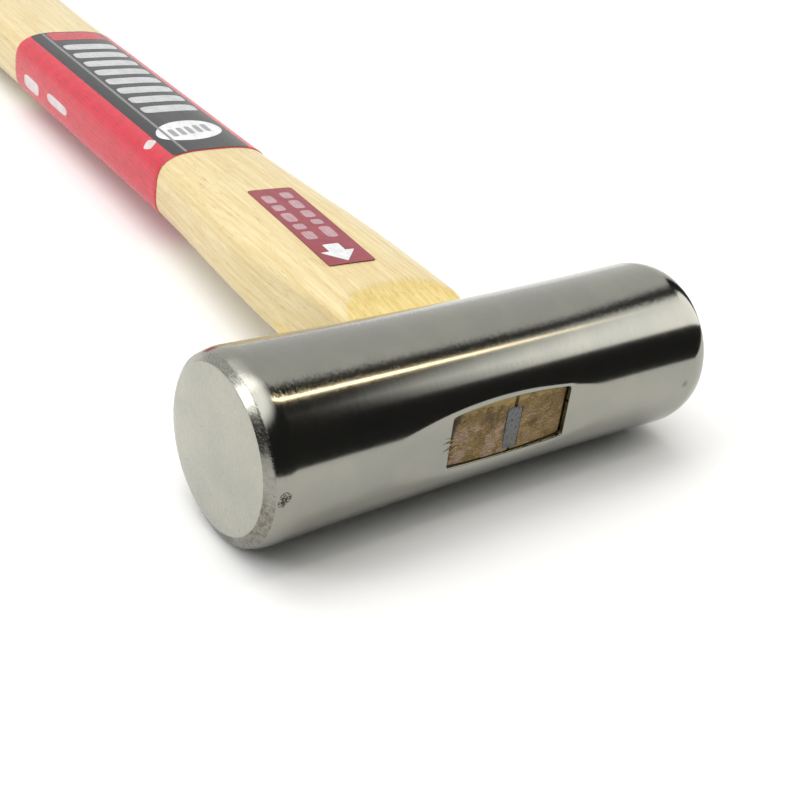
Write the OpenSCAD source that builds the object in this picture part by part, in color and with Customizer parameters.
// Two-faced club hammer with a wooden handle, lying on its side as it rests on a bench.
// The head's axis is along X and the handle points towards +Y. Both the head and the
// butt of the handle touch the plane Z = 0, so the handle falls slightly towards its butt.
// Each module is drawn in the hammer's own axes (head axis on X, handle axis on Y, origin
// where they cross) and at_rest() lays it down.

/* [Head] */
// Largest diameter of the head, near its two ends
head_d = 38; // [35:0.5:44]
// Length of the head from face to face
head_l = 116; // [100:1:140]
// How much the radius shrinks at the middle of the head
waist = 0.7; // [0.1:0.1:1.2]
// Radial width of the bevel round each striking face
bevel_w = 2.1; // [1:0.1:3.5]
// Axial length of that bevel
bevel_l = 1.1; // [0.8:0.1:3]
// Diameter of the flat middle of each striking face
face_flat_d = 12; // [4:1:20]
// How far that flat middle stands out past the rim of the face
crown = 0.6; // [0.1:0.1:1.5]
// How much smaller the barrel gets in the rounding behind each bevel
roll_w = 0.8; // [0.1:0.1:1.2]
// Axial length of that rounding
roll_l = 4; // [2:0.5:6]
// Distance from the head's axis to the flattened cheeks round the eye
cheek_y = 16.6; // [15.8:0.1:16.8]
// Radius of the shallow hollow that flattens each cheek
cheek_r = 215; // [150:5:400]
// Where the cheeks are flattest along the head, from its middle
cheek_x = -3; // [-4:0.5:4]
// How far the cheeks are turned about the head's axis against the handle, in degrees
cheek_tilt = 4.6; // [0:0.2:6]

/* [Eye] */
// Length of the eye along the head
eye_l = 31; // [27:0.2:32]
// Width of the eye across the head, at its ends
eye_w = 11.4; // [11:0.1:12]
// How far each long side of the eye bows outwards at its middle
eye_bow = 0.7; // [0.3:0.1:0.9]
// Offset of the eye along the head
eye_x = -0.9; // [-2:0.1:2]
// Height of the eye's middle over the handle's axis
eye_lift = 1.6; // [0:0.1:2]
// Gap left round the tenon, the wedge and the labels
fit_gap = 0.04; // [0.02:0.01:0.1]

/* [Handle] */
// Overall length of the hammer, measured along the handle
overall_l = 340; // [300:5:400]
// Width of the handle at the shoulder behind the head
shoulder_w = 38.4; // [35:0.2:40]
// Thickness of the handle at the shoulder
shoulder_t = 20.4; // [18:0.2:23]
// Width of the handle at its slimmest, under the wrap
slim_w = 32.6; // [29:0.2:35]
// Thickness of the handle at its slimmest
slim_t = 19.4; // [17:0.2:22]
// Width of the handle at the butt
butt_w = 35.5; // [32:0.5:38]
// Thickness of the handle at the butt
butt_t = 23; // [20:0.5:26]
// Rounding of the butt's edge
butt_r = 4; // [2:0.5:6]
// Squareness of the handle's section, where 2 is an ellipse
squareness = 3.3; // [2.4:0.1:4]
// Depth of the tenon's end below the cheek
tenon_sink = 0.3; // [0:0.1:0.6]

/* [Wedge] */
// Thickness of the wedge at its outer end
wedge_t = 3.9; // [2.4:0.1:4.5]
// Thickness of the wedge at its thin end
wedge_tip = 1; // [0.9:0.1:1.5]
// Width of the wedge across the eye
wedge_w = 9.4; // [7:0.2:9.6]
// Length of the wedge
wedge_l = 24; // [16:1:28]
// Sideways offset of the wedge from the handle's axis
wedge_x = 0.4; // [-3:0.1:3]
// Offset of the wedge across the eye, from its middle
wedge_drop = 1; // [0:0.1:1]
// Width of the saw kerf that the wedge is driven into
kerf_w = 0.8; // [0.5:0.1:0.8]

/* [Labels] */
// Start of the wrap, from the head's axis
wrap_y = 106; // [100:1:120]
// Length of the wrap along the handle
wrap_l = 95; // [80:1:110]
// Thickness of the wrap's film
wrap_t = 0.2; // [0.15:0.05:0.3]
// Start of the small sticker, from the head's axis
sticker_y = 39; // [38:0.5:50]
// Length of the small sticker
sticker_l = 40.5; // [30:0.5:45]
// Width of the small sticker
sticker_w = 12.2; // [10:0.2:15]
// Sideways offset of the sticker's middle
sticker_x = -1; // [-3:0.5:3]
// Slant of the sticker against the handle
sticker_turn = -3.5; // [-5:0.5:5]
// Thickness of the small sticker
sticker_t = 0.15; // [0.1:0.05:0.3]

/* [Hidden] */

head_r = head_d / 2;
handle_l = overall_l - head_r;          // from the head's axis to the butt
tenon_end = cheek_y - tenon_sink;       // the tenon's end lies on the -Y side
taper_y = cheek_y + 1.1;                // where the cuts down to the tenon begin
top_cut_y = 30;                         // where the cut on the upper side runs out
bottom_cut_y = 44;                      // where the cut on the lower side runs out
side_cut_y = 66;                        // where the cuts on the edges run out
shoulder_y = 48;                        // the handle is widest up to here
swell_y = wrap_y + wrap_l + 8;          // the grip starts to swell here
wrap_end = wrap_y + wrap_l;
section_points = 28;                    // points round a section of the handle
waist_steps = 16;                       // steps along the waisted profile
roll_steps = 5;                         // steps along the rounding behind each bevel
crown_steps = 6;                        // steps from the flat of a face to its rim
over = 20;                              // how far cutters run past what they cut
trim = 2;                               // spare length trimmed off the tenon and the wedge

// A ramp from 0 at a to 1 at b, level at both ends
function ramp(a, b, y) =
    let (t = min(1, max(0, (y - a) / (b - a)))) t * t * (3 - 2 * t);

// How much the rounded edge of the butt takes off each half-size
function butt_cut(y) =
    let (d = max(0, y - handle_l + butt_r)) butt_r - sqrt(butt_r * butt_r - d * d);

// A half-size of the handle at y, from its sizes at the shoulder, the middle and the butt
function half_size(y, shoulder, slim, butt) =
    (slim + (shoulder - slim) * (1 - ramp(shoulder_y, wrap_y + 4, y))
     + (butt - slim) * ramp(swell_y, handle_l - 15, y)) / 2 - butt_cut(y);
function half_w(y) = half_size(y, shoulder_w, slim_w, butt_w);
function half_t(y) = half_size(y, shoulder_t, slim_t, butt_t);

// One section of the handle: a rounded rectangle whose sides all bow a little
function power(c) = sign(c) * pow(abs(c), 2 / squareness);
function section(y, grow) =
    [for (k = [0 : section_points - 1]) let (a = 360 * (k + 0.5) / section_points)
        [(half_w(y) + grow) * power(cos(a)), y, (half_t(y) + grow) * power(sin(a))]];

// Height of the handle's upper surface over its axis
function top_z(x, y) =
    half_t(y) * pow(1 - pow(abs(x) / half_w(y), squareness), 1 / squareness);

// The sections lie close together where the shape changes, and at both ends of the wrap
body_y = concat(
    [for (i = [0 : 14]) 12 + (wrap_y - 12) * i / 14],
    [for (i = [1 : 8]) wrap_y + wrap_l * i / 8],
    [for (i = [1 : 9]) wrap_end + (handle_l - butt_r - wrap_end) * i / 9],
    [for (a = [20 : 17.5 : 72.5]) handle_l - butt_r + butt_r * sin(a)]);
wrap_stations = [for (y = body_y) if (y >= wrap_y && y <= wrap_end) y];

// The angle at which the lying hammer touches the plane with both the head and the handle
lie_angle = min([for (y = body_y) if (y > swell_y)
    asin(head_r / norm([y, half_t(y)])) - atan(half_t(y) / y)]);
butt_reach = max([for (y = body_y) if (y > swell_y)
    y * cos(lie_angle) + half_t(y) * sin(lie_angle)]);
middle_y = (butt_reach - head_r) / 2;

module at_rest() {
    translate([0, -middle_y, head_r]) rotate([-lie_angle, 0, 0]) children();
}

// A closed skin over a row of rings that all have the same number of points
module loft(rings) {
    n = len(rings[0]);
    last = len(rings) - 1;
    polyhedron(
        points = [for (ring = rings) for (p = ring) p],
        faces = concat(
            [[for (k = [n - 1 : -1 : 0]) k]],
            [for (i = [0 : last - 1]) for (k = [0 : n - 1]) for (side = [0, 1])
                let (a = i * n + k, b = i * n + (k + 1) % n)
                side == 0 ? [a, b, a + n] : [b, b + n, a + n]],
            [[for (k = [0 : n - 1]) last * n + k]]));
}

// Outline of the eye in its own plane, smaller all round by gap
module eye_outline(gap) {
    half_l = eye_l / 2;
    arc_r = (half_l * half_l + eye_bow * eye_bow) / (2 * eye_bow);
    arc_y = arc_r - eye_w / 2 - eye_bow;
    translate([eye_x, eye_lift]) intersection() {
        square([eye_l - 2 * gap, 2 * eye_w], center = true);
        translate([0, -arc_y]) circle(r = arc_r - gap, $fn = 96);
        translate([0, arc_y]) circle(r = arc_r - gap, $fn = 96);
    }
}

// Extrudes its outline along Y, between two places
module along_y(from, to) {
    translate([0, to, 0]) rotate([90, 0, 0]) linear_extrude(height = to - from) children();
}

// Radius of the barrel: waisted up to plain, then rounded off
function barrel_radius(at, plain) =
    let (u = min(1, abs(at) / plain), t = max(0, abs(at) - plain) / roll_l)
        head_r - waist * (1 - u * u) - roll_w * t * t;

module head() {
    half = head_l / 2;
    plain = half - crown - bevel_l - roll_l;
    rim_r = head_r - roll_w - bevel_w;
    roll_at = [for (i = [1 : roll_steps]) plain + roll_l * i / roll_steps];
    plain_at = [for (i = [0 : waist_steps]) plain * (2 * i / waist_steps - 1)];
    ends = [for (i = [roll_steps - 1 : -1 : 0]) -roll_at[i]];
    side = [for (at = concat(ends, plain_at, roll_at)) [barrel_radius(at, plain), at]];
    flat_r = face_flat_d / 2;
    dome = [for (i = [0 : crown_steps]) let (u = i / crown_steps)
        [flat_r + (rim_r - flat_r) * u, half - crown * u * u]];
    color([0.68, 0.68, 0.65]) at_rest() difference() {
        rotate([0, 90, 0]) rotate_extrude($fn = 96) polygon(concat(
            [[0, -half]], [for (at = dome) [at[0], -at[1]]], side,
            [for (i = [crown_steps : -1 : 0]) dome[i]], [[0, half]]));
        along_y(-head_r - over, head_r + over) eye_outline(0);
        rotate([-cheek_tilt, 0, 0]) for (y = [-1, 1])
            translate([cheek_x, y * (cheek_y + cheek_r), -head_r - over])
                cylinder(r = cheek_r, h = 2 * (head_r + over), $fn = 180);
    }
}

// What two slanting cuts leave of the shoulder: from low to high at the tenon, and the full
// size where each cut runs out
module shoulder_cut(low, high, full, low_cut_y, high_cut_y) {
    far = handle_l + over;
    linear_extrude(height = 2 * shoulder_w, center = true) polygon([
        [low, 0], [high, 0], [high, taper_y], [full / 2, high_cut_y],
        [full, high_cut_y], [full, far], [-full, far], [-full, low_cut_y],
        [-full / 2, low_cut_y], [low, taper_y]]);
}

// Everything outside the end of the tenon, which is trimmed in line with the cheek
module beyond_tenon() {
    rotate([-cheek_tilt, 0, 0]) translate([-eye_l, -tenon_end - over, -eye_l])
        cube([2 * eye_l, over, 2 * eye_l]);
}

// The wedge, wider all round by gap, before its outer end is trimmed
module wedge_blank(gap) {
    start = -tenon_end - trim;
    translate([wedge_x, 0, eye_lift - wedge_drop])
        linear_extrude(height = wedge_w + 2 * gap, center = true) polygon([
            [-wedge_t / 2 - gap, start], [wedge_t / 2 + gap, start],
            [wedge_tip / 2 + gap, wedge_l - tenon_end + gap],
            [-wedge_tip / 2 - gap, wedge_l - tenon_end + gap]]);
}

module handle() {
    kerf_l = wedge_l + 3;
    tenon_l = eye_l / 2 - fit_gap;
    tenon_w = eye_w / 2 - fit_gap;
    color([0.9, 0.84, 0.6]) at_rest() difference() {
        union() {
            along_y(-tenon_end - trim, taper_y) eye_outline(fit_gap);
            intersection() {
                loft([for (y = body_y) section(y, 0)]);
                shoulder_cut(eye_x - tenon_l, eye_x + tenon_l, shoulder_w, side_cut_y, side_cut_y);
                rotate([0, -90, 0]) shoulder_cut(
                    eye_lift - tenon_w, eye_lift + tenon_w, shoulder_t, bottom_cut_y, top_cut_y);
            }
        }
        beyond_tenon();
        wedge_blank(fit_gap);
        translate([wedge_x - kerf_w / 2, -tenon_end - over, -eye_w])
            cube([kerf_w, over + kerf_l, 2 * eye_w]);
    }
}

module steel_wedge() {
    color([0.45, 0.46, 0.47]) at_rest() difference() {
        wedge_blank(0);
        beyond_tenon();
    }
}

// The film goes right round the handle, so its skin is an outer tube less an inner one
module wrap_label() {
    color([0.78, 0.2, 0.26]) at_rest() difference() {
        loft([for (y = wrap_stations) section(y, fit_gap + wrap_t)]);
        loft([for (y = wrap_stations) section(y, fit_gap)]);
    }
}

// A small sheet that follows the crown of the handle's upper flat
module arrow_sticker() {
    columns = 6;
    rows = 9;
    low = 1.5 * fit_gap;
    function place(i, j) =
        let (u = sticker_w * (i / columns - 0.5), v = sticker_l * (j / rows - 0.5))
        [sticker_x + u * cos(sticker_turn) - v * sin(sticker_turn),
         sticker_y + sticker_l / 2 + u * sin(sticker_turn) + v * cos(sticker_turn)];
    function ring(j) = concat(
        [for (i = [0 : columns]) let (p = place(i, j)) [p[0], p[1], top_z(p[0], p[1]) + low]],
        [for (i = [columns : -1 : 0]) let (p = place(i, j))
            [p[0], p[1], top_z(p[0], p[1]) + low + sticker_t]]);
    color([0.57, 0.26, 0.3]) at_rest() loft([for (j = [0 : rows]) ring(j)]);
}

head();
handle();
steel_wedge();
wrap_label();
arrow_sticker();
